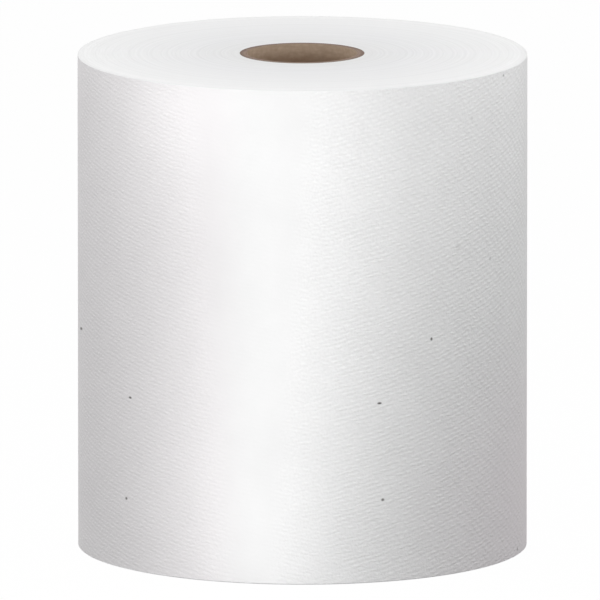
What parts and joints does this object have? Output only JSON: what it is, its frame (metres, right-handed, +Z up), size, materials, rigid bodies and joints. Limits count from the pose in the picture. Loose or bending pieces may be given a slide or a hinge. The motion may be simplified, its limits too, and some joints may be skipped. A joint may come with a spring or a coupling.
{
  "type": "paper towel roll",
  "caption": "Large white paper towel roll standing on its end: a long creped paper web wound on an open brown cardboard tube.",
  "frame": {"origin": "on the axis of the core, in the plane of the end that the roll stands on", "axes": "+Z up along the axis of the core, -Y towards the front of the pictured view"},
  "size_m": [0.1803, 0.1807, 0.2],
  "materials": {
    "white_paper": "creped, woven imprint, matt",
    "brown_cardboard": "uncoated, spiral wound, matt"
  },
  "bodies": {
    "root": {"towel_web": "white_paper", "cardboard_core": "brown_cardboard"}
  },
  "joints": []
}
